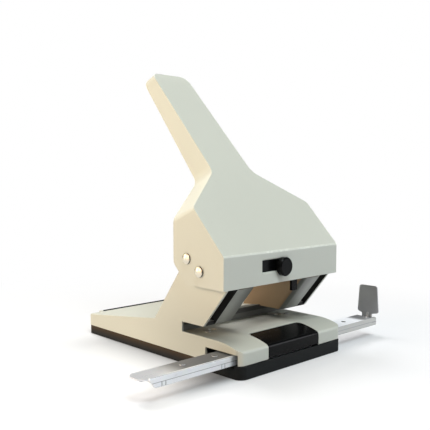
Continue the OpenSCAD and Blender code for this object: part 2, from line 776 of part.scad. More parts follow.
// Rail: a channel with a front lip, cut on a slant at its left end
module guide_rail() {
    y0 = rail_front_d;
    y1 = rail_back_d;
    lip_z = rail_top_z + lip_h;
    end = rail_right + rail_past;
    slant = 6;
    crease_h = 0.8;
    crease_d = 0.35;
    crease_z = rail_low_z + 3.2;
    section = [[y0, rail_low_z], [y0 + rail_t, rail_low_z], [y0 + rail_t, strip_z - rail_t],
        [y1 - rail_t, strip_z - rail_t], [y1 - rail_t, rail_low_z], [y1, rail_low_z], [y1, strip_z],
        [y0 + rail_t, strip_z], [y0 + rail_t, lip_z], [y0, lip_z], [y0, crease_z + crease_h],
        [y0 + crease_d, crease_z + crease_h / 2], [y0, crease_z]];
    face = [[rail_left + slant, rail_low_z], [end, rail_low_z], [end, lip_z], [rail_left, lip_z]];
    color(zinc) from_front() difference() {
        intersection() {
            across(rail_left, end) polygon(section);
            through(y0 - past, y1 + past) polygon(rounded(face, [0.8, 1.2, 2.4, 0.8]));
        }
        for (x = rail_rivet_xs) translate([x, strip_mid_d, 0])
            cylinder(d = rail_rivet_d + 2 * fixed, h = rail_top_z);
    }
}

// Stop strip: it lies in the rail, with a round nosed tongue at the left and the stop plate at the right
module stop_strip() {
    y0 = strip_front_d;
    y1 = rail_back_d;
    nose = 4;
    hole_x = rail_right - 33.7;
    hole_d = 4.2;
    mid = rail_front_d + 5.6;
    neck = flag_neck_w / 2;
    low = rail_top_z + flag_neck_h;
    flare = 1.5;
    rib_w = 3;
    rib_h = 5;
    back = rail_right - strip_t;
    plan = [[strip_left + nose, y0], [rail_right, y0], [rail_right, y1], [strip_left + nose, y1],
        [strip_left, y1 - nose], [strip_left, y0 + nose]];
    flag = [[y0, strip_z], [mid + neck, strip_z], [mid + neck, low - flare],
        [mid + flag_w / 2, low], [mid + flag_top_w / 2, low + flag_h], [mid - flag_top_w / 2, low + flag_h],
        [mid - flag_w / 2, low], [y0, low - flare]];
    color(zinc) from_front() difference() {
        union() {
            translate([0, 0, strip_z]) linear_extrude(strip_t) polygon(rounded(plan, [2, 0, 0, 2, 2, 2]));
            across(back, rail_right) polygon(rounded(flag, [0, 0, 1, 2, 2.5, 2.5, 2, 1]));
            through(mid - rib_w / 2, mid + rib_w / 2)
                polygon([[back - rib_h, rail_top_z], [back, rail_top_z], [back, rail_top_z + rib_h]]);
        }
        translate([hole_x, strip_mid_d, 0]) cylinder(d = hole_d, h = rail_top_z + past);
        for (x = rail_rivet_xs) translate([x, strip_mid_d, 0])
            cylinder(d = rail_rivet_d + 2 * fixed, h = rail_top_z + past);
    }
}

module rail_rivets() {
    color(zinc) from_front() for (x = rail_rivet_xs) translate([x, strip_mid_d, 0])
        rivet(rail_rivet_d, rail_rivet_head_d, rail_rivet_head_h, strip_z - rail_t, rail_top_z);
}

// Clamp flap: it lies flush in the table, turns on its rear pin and bears on the rail with a rib
module rail_clamp() {
    top = table_curve(0, clamp_pin_depth, 0);
    under = table_curve(clamp_t, clamp_pin_depth, clamp_t);
    n = len(under);
    outline = concat([[clamp_t, clamp_low_z], [0, clamp_low_z]], top, [for (i = [1 : n]) under[n - i]]);
    radii = [for (i = [0 : len(outline) - 1]) i == 2 ? edge_r : 0];
    rib_half = 20;
    rib_t = 3;
    rib_low = rail_top_z + rail_rivet_head_h + 0.4;
    color(black) from_front() difference() {
        union() {
            intersection() {
                union() {
                    across(-clamp_half, clamp_half) polygon(rounded(outline, radii));
                    bar(-clamp_half, clamp_half, clamp_pin_depth, clamp_pin_z, knuckle_d);
                }
                rounded_block(clamp_half, -2 * clamp_r, clamp_back_d - gap, 0, table_z + past,
                    clamp_r + clamp_ease);
            }
            box([-rib_half, strip_mid_d - rib_t / 2, rib_low],
                [rib_half, strip_mid_d + rib_t / 2, table_top(strip_mid_d - rib_t / 2) - clamp_t / 2]);
        }
        bar(-half_w, half_w, clamp_pin_depth, clamp_pin_z, hinge_pin_d + 2 * running);
    }
}

// Chip tray: a pan under the frame, with locating walls, a raised front lip and a hinged rear tongue
module chip_tray() {
    wall_front = 45;
    wall_back = base_d - 20;
    wall_top = skirt_z + 4;
    wall_x = inner_half - 0.4;
    wall_t = 1.8;
    tongue_y = tray_pin_y - tongue_t / 2;
    inner_r = tray_r - tray_wall;
    color(black) from_front() difference() {
        union() {
            difference() {
                union() {
                    rounded_block(half_w, -tray_proud, base_d, 0, tray_top_z, tray_r);
                    intersection() {
                        rounded_block(half_w, -tray_proud, base_d, 0, tray_lip_z, tray_r);
                        box([-half_w, -tray_proud, 0], [half_w, corner_r, tray_lip_z]);
                    }
                }
                rounded_block(half_w - tray_wall, tray_wall - tray_proud, base_d - tray_wall, tray_floor,
                    tray_lip_z + past, inner_r);
            }
            both() box([wall_x - wall_t, wall_front, tray_floor / 2], [wall_x, wall_back, wall_top]);
            box([-tongue_half, base_d - tray_wall, 0], [tongue_half, tray_pin_y + tongue_t / 2, tray_top_z]);
            box([-tongue_half, tongue_y, 0], [tongue_half, tongue_y + tongue_t, tray_pin_z]);
            bar(-tongue_half, tongue_half, tray_pin_y, tray_pin_z, knuckle_d);
        }
        bar(-half_w, half_w, tray_pin_y, tray_pin_z, hinge_pin_d + 2 * running);
    }
}

frame();
rear_deck();
die_plate();
die_rivets();
punch_guide_left();
punch_guide_right();
guide_bush(-1);  // guide_bush_left
guide_bush(1);  // guide_bush_right
return_spring(-1);  // return_spring_left
return_spring(1);  // return_spring_right
pivot_pin();
pivot_bushes();
rail_bracket();
clamp_pin();
tray_pin();
handle();
drive_pin();
drive_rollers();
lock_straps();
lock_slider();
lock_knob();
punch_pin(-1);  // punch_pin_left
punch_pin(1);  // punch_pin_right
guide_rail();
stop_strip();
rail_rivets();
rail_clamp();
chip_tray();
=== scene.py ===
"""Finished pieces, finishes and studio stage of a heavy duty hole punch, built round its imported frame"""
import math

import bmesh
import bpy
from bpy.props import FloatProperty, FloatVectorProperty, IntProperty, PointerProperty
from mathutils import Matrix, Vector


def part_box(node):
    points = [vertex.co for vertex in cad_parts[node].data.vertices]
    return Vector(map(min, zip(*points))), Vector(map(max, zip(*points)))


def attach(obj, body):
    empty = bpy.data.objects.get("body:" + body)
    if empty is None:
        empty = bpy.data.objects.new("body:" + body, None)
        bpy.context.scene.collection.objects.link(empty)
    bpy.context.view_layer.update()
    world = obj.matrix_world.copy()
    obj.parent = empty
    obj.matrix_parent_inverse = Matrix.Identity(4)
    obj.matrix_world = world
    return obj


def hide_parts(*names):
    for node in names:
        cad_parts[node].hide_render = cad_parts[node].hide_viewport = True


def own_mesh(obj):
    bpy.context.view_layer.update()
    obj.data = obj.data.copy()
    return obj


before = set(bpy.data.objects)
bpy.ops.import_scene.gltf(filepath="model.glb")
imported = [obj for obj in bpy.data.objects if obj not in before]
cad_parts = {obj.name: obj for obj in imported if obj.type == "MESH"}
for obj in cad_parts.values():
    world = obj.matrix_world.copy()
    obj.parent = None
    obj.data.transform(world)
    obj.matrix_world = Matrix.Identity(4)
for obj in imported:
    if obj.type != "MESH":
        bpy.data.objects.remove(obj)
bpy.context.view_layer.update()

bl_info = {
    "name": "Hole Punch",
    "version": (1, 0, 0),
    "blender": (4, 5, 0),
    "location": "View3D > Sidebar > Hole Punch",
    "description": "Models the finished pieces of a desk hole punch and sets its finishes and stage",
    "category": "Object",
}

MM = 0.001
WELD = 0.001 * MM
EDGE = "edge"


def corner(node, side):
    """The lowest (0) or highest (1) corner of a node"""
    return Vector(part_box(node)[side])


# Sizes and colours that a user would change


class PunchSizes(bpy.types.PropertyGroup):
    """Radii of the bends and edges that the finished pieces get"""

    hood_bend: FloatProperty(
        name="Hood bend", description="Outer radius of the hood's and lever's pressed bends",
        default=2.4 * MM, min=0.5 * MM, max=2.8 * MM, unit="LENGTH")
    table_bend: FloatProperty(
        name="Table bend", description="Outer radius of the bends round the table and the rear deck",
        default=1.7 * MM, min=0.5 * MM, max=1.9 * MM, unit="LENGTH")
    cut_edge: FloatProperty(
        name="Cut edge", description="Radius that the enamel leaves on the sheet's cut edges",
        default=0.3 * MM, min=0.1 * MM, max=0.5 * MM, unit="LENGTH")
    slot_edge: FloatProperty(
        name="Slot edge", description="Radius of the long edges of the lock's slot",
        default=1.2 * MM, min=0.2 * MM, max=1.4 * MM, unit="LENGTH")
    # Painted highlight: how much more the bend over the hood's front is lightened than other edges
    front_wear: FloatProperty(
        name="Front wear", description="How much lighter the bend over the hood's front is rubbed",
        default=1.5, min=0.0, max=2.0)
    rib_edge: FloatProperty(
        name="Rib edge", description="Radius of the rib in the stop plate's bend",
        default=1.35 * MM, min=0.2 * MM, max=1.45 * MM, unit="LENGTH")
    lever_corner: FloatProperty(
        name="Lever corner", description="Radius of the corners at the lever's end",
        default=8.0 * MM, min=3.0 * MM, max=10.0 * MM, unit="LENGTH")
    lever_lift: FloatProperty(
        name="Lever lift", description="How far the rim rises towards the lever's end",
        default=4.5 * MM, min=0.0, max=8.0 * MM, unit="LENGTH")
    guide_bend: FloatProperty(
        name="Guide bend", description="Outer radius of the bend between a guide's strip and its cheek",
        default=4.5 * MM, min=2.0 * MM, max=6.0 * MM, unit="LENGTH")
    moulded_edge: FloatProperty(
        name="Moulded edge", description="Radius of the outer edges of the moulded pieces",
        default=0.7 * MM, min=0.2 * MM, max=1.0 * MM, unit="LENGTH")
    steel_edge: FloatProperty(
        name="Steel edge", description="Radius of the edges of the plated and turned pieces",
        default=0.2 * MM, min=0.05 * MM, max=0.4 * MM, unit="LENGTH")
    bend_steps: IntProperty(
        name="Bend steps", description="Faces round a pressed bend", default=4, min=2, max=8)
    wire_sides: IntProperty(
        name="Wire sides", description="Faces round the spring wire", default=12, min=6, max=24)
    lathe_steps: IntProperty(
        name="Turning steps", description="Faces round a turned piece", default=64, min=24, max=96)


class PunchFinishes(bpy.types.PropertyGroup):
    """Colours of the finishes"""

    enamel: FloatVectorProperty(
        name="Enamel", description="Light grey enamel of the pressed sheets", subtype="COLOR",
        default=(0.60, 0.62, 0.555), min=0, max=1)
    # Dark brown that paints the shade and warm bounce light on the guides' inner faces
    primer: FloatVectorProperty(
        name="Primer", description="Brown primer on the guides' inner faces", subtype="COLOR",
        default=(0.23, 0.165, 0.105), min=0, max=1)
    # Near black that paints the shade in each arm's recess
    recess: FloatVectorProperty(
        name="Recess", description="Dark blacking of the recess in each arm", subtype="COLOR",
        default=(0.035, 0.035, 0.033), min=0, max=1)
    # The guides' enamel is darker than the body's as painted shade under the hood
    guide: FloatVectorProperty(
        name="Guide enamel", description="Darker grey enamel of the guides' strips", subtype="COLOR",
        default=(0.34, 0.35, 0.325), min=0, max=1)
    zinc: FloatVectorProperty(
        name="Zinc", description="Bright zinc plate of the rail", subtype="COLOR",
        default=(0.80, 0.82, 0.86), min=0, max=1)
    nickel: FloatVectorProperty(
        name="Nickel", description="Warm nickel plate of the pins' domed heads", subtype="COLOR",
        default=(0.62, 0.58, 0.49), min=0, max=1)
    steel: FloatVectorProperty(
        name="Steel", description="Ground steel of the die, springs and rollers", subtype="COLOR",
        default=(0.46, 0.46, 0.47), min=0, max=1)
    brass: FloatVectorProperty(
        name="Brass", description="Turned brass of the bushes", subtype="COLOR",
        default=(0.60, 0.44, 0.19), min=0, max=1)
    gloss: FloatVectorProperty(
        name="Gloss black", description="Glossy plastic of the clamp and the lock", subtype="COLOR",
        default=(0.0040, 0.0042, 0.0044), min=0, max=1)
    matte: FloatVectorProperty(
        name="Matte black", description="Grained plastic of the chip tray", subtype="COLOR",
        default=(0.0120, 0.0132, 0.0138), min=0, max=1)


class PunchStage(bpy.types.PropertyGroup):
    """Floor, lights and camera"""

    floor: FloatVectorProperty(
        name="Floor", description="Colour of the floor", subtype="COLOR",
        default=(0.84, 0.865, 0.90), min=0, max=1)
    sky: FloatProperty(
        name="Sky", description="Strength of the light from the white backdrop", default=0.08, min=0, max=3)
    top_power: FloatProperty(
        name="Top light", description="Power of the soft light above", default=6.0, min=0, max=200,
        unit="POWER")
    front_power: FloatProperty(
        name="Front light", description="Power of the soft light high in front", default=18.0, min=0, max=200,
        unit="POWER")
    warm_power: FloatProperty(
        name="Warm light", description="Power of the warm light at the left", default=14.0, min=0, max=200,
        unit="POWER")
    rear_left_power: FloatProperty(
        name="Rear left light", description="Power of the warm light behind at the left", default=10.5, min=0, max=200,
        unit="POWER")
    back_power: FloatProperty(
        name="Back light", description="Power of the soft light above and behind", default=20.5, min=0, max=200,
        unit="POWER")
    right_power: FloatProperty(
        name="Right light", description="Power of the low light in front at the right", default=7.5, min=0, max=200,
        unit="POWER")
    lens: FloatProperty(
        name="Lens", description="Focal length of the camera in millimetres", default=53.694, min=20, max=120)


# Shader maths


class Wire:
    """A shader socket that takes part in Python sums"""

    def __init__(self, finish, socket):
        self.finish = finish
        self.socket = socket

    def math(self, operation, *terms):
        return self.finish.node("ShaderNodeMath", {"operation": operation}, dict(enumerate(terms)))

    def __add__(self, other):
        return self.math("ADD", self, other)

    def __sub__(self, other):
        return self.math("SUBTRACT", self, other)

    def __rsub__(self, other):
        return self.math("SUBTRACT", other, self)

    def __mul__(self, other):
        return self.math("MULTIPLY", self, other)

    __radd__ = __add__
    __rmul__ = __mul__


class Finish:
    """A procedural material, with one way to add a node"""

    def __init__(self, name):
        self.material = bpy.data.materials.new(name)
        self.material.use_nodes = True
        self.tree = self.material.node_tree
        self.tree.nodes.clear()
        self.place = self.node("ShaderNodeTexCoord", output="Object")

    def node(self, kind, settings=None, inputs=None, output=0):
        made = self.tree.nodes.new(kind)
        for key, value in (settings or {}).items():
            setattr(made, key, value)
        for key, value in (inputs or {}).items():
            if isinstance(value, Wire):
                self.tree.links.new(value.socket, made.inputs[key])
            else:
                made.inputs[key].default_value = value
        return Wire(self, made.outputs[output]) if made.outputs else None

    def stretched(self, scale):
        return self.node("ShaderNodeMapping", {}, {"Vector": self.place, "Scale": scale})

    def noise(self, scale, detail=2.0, roughness=0.5, stretch=None):
        where = self.stretched(stretch) if stretch else self.place
        return self.node("ShaderNodeTexNoise", {}, {
            "Vector": where, "Scale": scale, "Detail": detail, "Roughness": roughness})

    def cells(self, scale, output="Distance"):
        return self.node("ShaderNodeTexVoronoi", {}, {"Vector": self.place, "Scale": scale}, output)

    def above(self, value, low, high):
        """0 below low, 1 above high and a smooth rise from one to the other"""
        return self.node("ShaderNodeMapRange", {"interpolation_type": "SMOOTHSTEP"}, {
            "Value": value, "From Min": low, "From Max": high})

    def below(self, value, low, high):
        """1 below low, 0 above high and a smooth fall from one to the other"""
        return 1 - self.above(value, low, high)

    def axes(self, vector=None):
        """The three parts of a vector, or of the place on the piece in millimetres"""
        where = vector or self.node(
            "ShaderNodeVectorMath", {"operation": "SCALE"}, {0: self.place, "Scale": 1 / MM})
        parted = self.node("ShaderNodeSeparateXYZ", {}, {0: where})
        return [Wire(self, socket) for socket in parted.socket.node.outputs]

    def edge(self):
        """1 on the faces that are marked as edges"""
        return self.node("ShaderNodeAttribute", {"attribute_name": EDGE}, {}, "Fac")

    def flat(self):
        """1 on faces that look up and 0 on upright ones"""
        return self.above(self.axes(self.node("ShaderNodeNewGeometry", {}, {}, "True Normal"))[2], 0.7, 0.95)

    def mix(self, share, first, second):
        return self.node("ShaderNodeMix", {"data_type": "RGBA"}, {0: share, 6: first, 7: second}, 2)

    def bump(self, height, strength, depth):
        return self.node("ShaderNodeBump", {}, {"Height": height, "Strength": strength, "Distance": depth})

    def surface(self, **inputs):
        shader = self.node("ShaderNodeBsdfPrincipled", {}, {
            key.replace("_", " "): value for key, value in inputs.items()})
        self.node("ShaderNodeOutputMaterial", {}, {"Surface": shader})
        return self.material


def tint(colour, share):
    """A colour made lighter or darker, with its alpha"""
    return tuple(min(1.0, c * share) for c in colour) + (1.0,)


def frame_planes():
    """Planes of the frame in millimetres: back stop, inner and outer wall, deck and table"""
    deck_low, deck_high = corner("rear_deck", 0) / MM, corner("rear_deck", 1) / MM
    return deck_low.y, deck_high.x, corner("frame", 1).x / MM, deck_high.z, corner("rail_clamp", 1).z / MM


def grime(f):
    """Painted shade on the table, in and behind the throat and low on the left wall, where the hood and arms shade them
    """
    x, y, z = f.axes()
    flat = f.flat()
    stop, inner, outer, deck, table = frame_planes()
    table_left = f.below(x, -outer + 6, -outer + 26) * (
        0.5 * f.above(y, stop - 64, stop - 42) + 0.2 * f.above(y, stop - 20, stop - 8))
    table_right = 0.58 * f.above(x, -14, 16) * f.below(x, 33, 45) * f.above(y, stop - 32, stop - 16)
    back_stop = (0.85 * (1 - flat) * f.above(y, stop - 1.6, stop - 0.6) * f.above(z, table - 0.5, table + 0.1)
                 * f.below(x * x, inner ** 2, (inner + 1.24) ** 2))
    throat = f.below(z, deck - 2.5, deck) * f.below(y, stop + 0.4, stop + 1.4) * (
        flat * (0.09 + table_left + table_right) + back_stop)
    left_wall = (0.26 * (1 - flat) * f.below(x, -outer + 0.5, -outer + 1.5) * f.below(y, -60, 35)
                 * f.below(z, 20, 60))
    behind_stop = (0.92 * f.above(y, stop - 1.2, stop - 0.4) * f.below(y, stop + 7, stop + 16)
                   * f.above(z, deck - 4.5, deck - 3) * f.below(z, deck + 0.5, deck + 1.5)
                   * f.below(x * x, (inner - 1.69) ** 2, inner ** 2))
    return throat + left_wall + behind_stop


def enamel(name, base, throat_shade=False, shaded_band=None):
    """Satin enamel with a fine orange peel and edges lightened by wear and a painted highlight; if asked for, painted
    shade darkens it near the middle or round the throat
    """
    f = Finish(name)
    drift = f.noise(11.0, 2.0)
    peel = f.noise(760.0, 3.0, 0.55)
    specks = f.above(f.noise(330.0, 2.0), 0.70, 0.76)
    # Marked edge faces are lightened for wear and as a painted highlight along the bends
    wear_and_highlight = f.edge() * (0.45 + 0.55 * f.above(f.noise(210.0, 4.0, 0.6), 0.46, 0.66))
    colour = f.mix(drift, tint(base, 0.965), tint(base, 1.035))
    colour = f.mix(specks * 0.10, colour, tint(base, 0.72))
    colour = f.mix(wear_and_highlight * 0.60, colour, tint(base, 1.40))
    rough = 0.36 + drift * 0.10 + peel * 0.06 - wear_and_highlight * 0.10
    # Painted shade: darker towards the middle, between the given distances
    if shaded_band:
        x = f.axes()[0]
        band_share = f.below(x * x, shaded_band[0] ** 2, shaded_band[1] ** 2)
        colour = f.mix(band_share * 0.7, colour, tint(base, 0.35))
    # Painted shade: darkens the table, the walls and the deck round the throat
    if throat_shade:
        shade_share = grime(f) * (0.85 + 0.30 * drift)
        colour = f.mix(shade_share, colour, tint(base, 0.10))
        rough = rough + shade_share * 0.12
    return f.surface(Base_Color=colour, Roughness=rough, Specular_IOR_Level=0.5, Normal=f.bump(peel, 0.10, 0.0002))


def body_enamel(colours):
    """Light grey enamel of the pressed sheets, with painted shade round the throat"""
    return enamel("body_enamel", colours.enamel, throat_shade=True)


def guide_enamel(colours):
    """Darker enamel of the guides' strips as painted shade under the hood, with more painted shade towards their bends
    """
    return enamel("guide_enamel", colours.guide, shaded_band=(34, 45))


def bend_shade_enamel(colours):
    """Darker copy of the guide enamel round the guides' bends, as painted shade"""
    return enamel("bend_shade_enamel", tuple(c * 0.36 for c in colours.guide))


def guide_cheek_shade(colours):
    """Dark brown on the guides' inner faces, a painted shade with warm bounce light, with an uneven sprayed grain"""
    f = Finish("guide_cheek_shade")
    cloud = f.noise(26.0, 3.0)
    spray = f.noise(900.0, 3.0, 0.6)
    colour = f.mix(cloud, tint(colours.primer, 0.86), tint(colours.primer, 1.14))
    colour = f.mix(f.above(spray, 0.60, 0.74) * 0.18, colour, tint(colours.primer, 0.55))
    colour = f.mix(f.edge() * 0.25, colour, tint(colours.primer, 1.5))
    return f.surface(
        Base_Color=colour, Roughness=0.52 + cloud * 0.12 + spray * 0.05,
        Specular_IOR_Level=0.3, Normal=f.bump(spray, 0.12, 0.0001))


def recess_painted_shade(colours):
    """Near black painted shade in the arms' recesses, with paler dusty specks"""
    f = Finish("recess_painted_shade")
    cloud = f.noise(34.0, 3.0)
    dust = f.above(f.noise(620.0, 3.0, 0.6), 0.60, 0.76)
    colour = f.mix(cloud, tint(colours.recess, 0.75), tint(colours.recess, 1.25))
    colour = f.mix(dust * 0.2, colour, tint(colours.recess, 3.0))
    return f.surface(
        Base_Color=colour, Roughness=0.62 + cloud * 0.12 + dust * 0.10,
        Specular_IOR_Level=0.2, Normal=f.bump(dust, 0.10, 0.0001))


def satin_nickel(colours):
    """Satin nickel of the pins' domed heads, with a faint turned grain and painted shade round their rims"""
    f = Finish("satin_nickel")
    cloud = f.noise(150.0, 3.0)
    grain = f.noise(1.0, 2.0, 0.5, (2600.0, 500.0, 500.0))
    colour = f.mix(cloud, tint(colours.nickel, 0.92), tint(colours.nickel, 1.08))
    # Painted shade: the marked rims are darkened
    colour = f.mix(f.edge() * 0.85, colour, tint(colours.nickel, 0.12))
    return f.surface(
        Base_Color=colour, Metallic=1.0, Roughness=0.30 + cloud * 0.08 + grain * 0.06,
        Normal=f.bump(grain, 0.05, 0.00004))


def zinc_plate(colours):
    """Bright zinc plate, drawn along the rail, with faint crystals and handling marks, and painted shade, sheen and
    shadow set by place along the rail
    """
    f = Finish("zinc_plate")
    drawn = f.noise(1.0, 3.0, 0.6, (9.0, 820.0, 820.0))
    clouds = f.noise(46.0, 3.0)
    crystals = f.cells(210.0, "Color")
    marks = f.above(f.noise(1.0, 4.0, 0.7, (70.0, 190.0, 190.0)), 0.60, 0.74)
    bright = f.edge() * 0.5
    x, y, _ = f.axes()
    flat = f.flat()
    rail_low, rail_high = corner("guide_rail", 0) / MM, corner("guide_rail", 1) / MM
    # Painted shade: the strip's top is darker on its left part
    left_dark_shade = flat * f.above(x, -128, -104) * f.below(x, -20, 30) * f.above(y, rail_low.y + 1.2, rail_low.y + 1.6)
    right = f.above(x, 45, 70)
    # Painted sheen on the strip's top at the right, and a painted shadow of the stop plate beside it
    stop_shadow = right * flat * f.above(x, 102, 112)
    right_sheen = right * flat - stop_shadow
    hole_x = x - (corner("stop_strip", 1).x / MM - 33.7)
    hole_y = y - (rail_low.y + rail_high.y + 1.7) / 2
    hole_shade = f.below(hole_x * hole_x + hole_y * hole_y, 2.0 ** 2, 2.15 ** 2)
    colour = f.mix(clouds, tint(colours.zinc, 0.86), tint(colours.zinc, 1.06))
    colour = f.mix(0.02, colour, crystals)
    colour = f.mix(marks * 0.30, colour, tint(colours.zinc, 0.66))
    colour = f.mix(bright, colour, tint(colours.zinc, 1.16))
    colour = f.mix(left_dark_shade * 0.92, colour, tint(colours.zinc, 0.10))
    colour = f.mix(right_sheen, colour, tint(colours.zinc, 1.16))
    colour = f.mix(stop_shadow * 0.8, colour, tint(colours.zinc, 0.25))
    # Painted shade: the upright faces at the right are darker
    colour = f.mix(right * (1 - flat) * 0.8, colour, (0.45, 0.445, 0.415, 1.0))
    # Painted shade: dark inside the strip's hole
    colour = f.mix(hole_shade * 0.95, colour, tint(colours.zinc, 0.05))
    return f.surface(
        Base_Color=colour, Metallic=0.5 - 0.4 * right_sheen,
        Roughness=0.22 + drawn * 0.16 + marks * 0.12 + left_dark_shade * 0.12, Normal=f.bump(drawn, 0.10, 0.00005))


def shaded_zinc(colours):
    """Darker copy of the zinc as painted shade and dark reflection on the stop plate, its rib, the crimps and the
    crease, with soft handling marks
    """
    f = Finish("shaded_zinc")
    clouds = f.noise(90.0, 3.0)
    grain = f.noise(1.0, 3.0, 0.6, (500.0, 500.0, 60.0))
    colour = f.mix(clouds, tint(colours.zinc, 0.38), tint(colours.zinc, 0.48))
    colour = f.mix(f.edge() * 0.5, colour, tint(colours.zinc, 1.0))
    return f.surface(
        Base_Color=colour, Metallic=1.0, Roughness=0.36 + clouds * 0.08 + grain * 0.08,
        Normal=f.bump(grain, 0.08, 0.00005))


def ground_steel(colours):
    """Ground tool steel with fine grinding lines and an oily drift"""
    f = Finish("ground_steel")
    lines = f.noise(1.0, 3.0, 0.6, (1500.0, 60.0, 1500.0))
    oil = f.noise(70.0, 3.0)
    colour = f.mix(oil, tint(colours.steel, 0.78), tint(colours.steel, 1.10))
    colour = f.mix(f.edge() * 0.45, colour, tint(colours.steel, 1.45))
    return f.surface(
        Base_Color=colour, Metallic=1.0, Roughness=0.24 + lines * 0.16 + oil * 0.08,
        Normal=f.bump(lines, 0.12, 0.00004))


def turned_brass(colours):
    """Turned brass with tool rings and a slight tarnish"""
    f = Finish("turned_brass")
    rings = f.noise(1.0, 2.0, 0.5, (240.0, 240.0, 2100.0))
    tarnish = f.noise(120.0, 3.0)
    colour = f.mix(f.above(tarnish, 0.42, 0.72), tint(colours.brass, 1.08), tint(colours.brass, 0.70))
    colour = f.mix(f.edge() * 0.4, colour, tint(colours.brass, 1.35))
    return f.surface(
        Base_Color=colour, Metallic=1.0, Roughness=0.22 + rings * 0.14 + tarnish * 0.08,
        Normal=f.bump(rings, 0.10, 0.00004))


def clamp_gloss(colours):
    """Glossy black plastic with faint flow marks, hairline scuffs and dust"""
    f = Finish("clamp_gloss")
    flow = f.noise(38.0, 2.0)
    scuffs = f.above(f.noise(1.0, 3.0, 0.6, (60.0, 900.0, 400.0)), 0.60, 0.72)
    dust = f.above(f.noise(1300.0, 1.0), 0.70, 0.78)
    colour = f.mix(flow, tint(colours.gloss, 0.8), tint(colours.gloss, 1.35))
    colour = f.mix(dust * 0.10, colour, (0.22, 0.22, 0.21, 1.0))
    return f.surface(
        Base_Color=colour, Roughness=0.13 + flow * 0.05 + scuffs * 0.10 + dust * 0.15,
        Specular_IOR_Level=0.08, Normal=f.bump(flow + scuffs * 0.2, 0.04, 0.0003))


def tray_grain(colours):
    """Black moulded plastic with a spark eroded grain, paler scuffs on its edges and a painted warm reflection high on
    its sides
    """
    f = Finish("tray_grain")
    grain = f.cells(1150.0)
    drift = f.noise(24.0, 3.0)
    scuffs = f.edge() * f.above(f.noise(260.0, 4.0, 0.6), 0.44, 0.66)
    colour = f.mix(drift, tint(colours.matte, 0.85), tint(colours.matte, 1.25))
    colour = f.mix(scuffs * 0.35, colour, tint(colours.matte, 2.6))
    # Painted reflection: a warm brown band high on the tray's sides
    x, y, z = f.axes()
    side = corner("chip_tray", 1).x / MM
    dust = f.above(x * x, (side - 1) ** 2, (side - 0.5) ** 2) * f.above(y, -80, -62) * f.above(z, 1, 8.5)
    colour = f.mix(dust * (0.5 + 0.4 * drift), colour, (0.070, 0.043, 0.022, 1.0))
    return f.surface(
        Base_Color=colour, Roughness=0.52 + drift * 0.10 + grain * 0.08 - scuffs * 0.10,
        Specular_IOR_Level=0.12, Normal=f.bump(grain, 0.22, 0.0001))


FINISHES = {
    "body_paint": body_enamel,
    "plated_steel": zinc_plate,
    "tool_steel": ground_steel,
    "bush_brass": turned_brass,
    "gloss_black": clamp_gloss,
    "matte_black": tray_grain,
}


def finish_of(build):
    """The material that a finish builds, made when it is first asked for"""
    return bpy.data.materials.get(build.__name__) or build(bpy.context.scene.punch_finishes)


# Mesh work


def cad_copy(*nodes):
    """A copy of some nodes' meshes, with their loose triangles joined into flat faces"""
    bm = bmesh.new()
    for node in nodes:
        bm.from_mesh(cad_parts[node].data)
    bmesh.ops.remove_doubles(bm, verts=bm.verts, dist=WELD)
    bmesh.ops.dissolve_limit(bm, angle_limit=math.radians(0.5), verts=bm.verts, edges=bm.edges)
    bm.faces.layers.float.new(EDGE)
    return bm


def cut_through(bm, place, facing):
    """Cuts all faces in two along a plane"""
    bmesh.ops.bisect_plane(
        bm, geom=bm.verts[:] + bm.edges[:] + bm.faces[:], dist=WELD / 10, plane_co=place, plane_no=facing)


def centre(edge):
    """The middle of an edge"""
    return (edge.verts[0].co + edge.verts[1].co) / 2


def corners(bm, degrees, test=None):
    """The edges that turn by more than an angle and pass a test of their middle and their two normals"""
    found = []
    for edge in bm.edges:
        if len(edge.link_faces) == 2 and edge.calc_face_angle() > math.radians(degrees):
            a, b = (face.normal for face in edge.link_faces)
            if test is None or test(centre(edge), a, b) or test(centre(edge), b, a):
                found.append(edge)
    return found


def soften(bm, edges, radius, steps):
    """Rounds some edges and marks the new faces as edges for the finishes"""
    mark = bm.faces.layers.float.get(EDGE) or bm.faces.layers.float.new(EDGE)
    made = bmesh.ops.bevel(
        bm, geom=edges, offset=radius, offset_type="OFFSET", affect="EDGES", segments=steps, profile=0.5,
        material=-1, clamp_overlap=True)
    for face in made["faces"]:
        face[mark] = 1.0


def lathe(bm, profile, middle, axis, across, steps):
    """Turns a profile of (along, out) points round an axis"""
    rim = [bm.verts.new(middle + axis * along + across * out) for along, out in profile]
    lines = [bm.edges.new(pair) for pair in zip(rim, rim[1:])]
    bmesh.ops.spin(
        bm, geom=rim + lines, cent=middle, axis=axis, angle=2 * math.pi, steps=steps, use_merge=True)
    bmesh.ops.remove_doubles(bm, verts=bm.verts, dist=WELD)
    bmesh.ops.recalc_face_normals(bm, faces=bm.faces)


def split(bm, faces, place, facing):
    """Cuts some faces in two along a plane"""
    bmesh.ops.bisect_plane(
        bm, geom=faces + list({e for f in faces for e in f.edges}) + list({v for f in faces for v in f.verts}),
        dist=WELD / 10, plane_co=place, plane_no=facing)


def web_front(inner, stop):
    """A point and the normal of the front of the web that closes an arm's recess"""
    bm = cad_copy("punch_guide_right")
    recess = inner - 8 * MM
    web = next(f for f in bm.faces if f.calc_center_median().x > recess and f.calc_center_median().y > stop
               and abs(f.normal.x) < 0.01 and f.normal.y < -0.5)
    place, facing = web.calc_center_median(), web.normal.copy()
    bm.free()
    return place, facing


def paint(bm, index, test):
    """Gives another finish to the faces that pass a test of their middle and normal"""
    for face in bm.faces:
        if test(face.calc_center_median(), face.normal):
            face.material_index = index


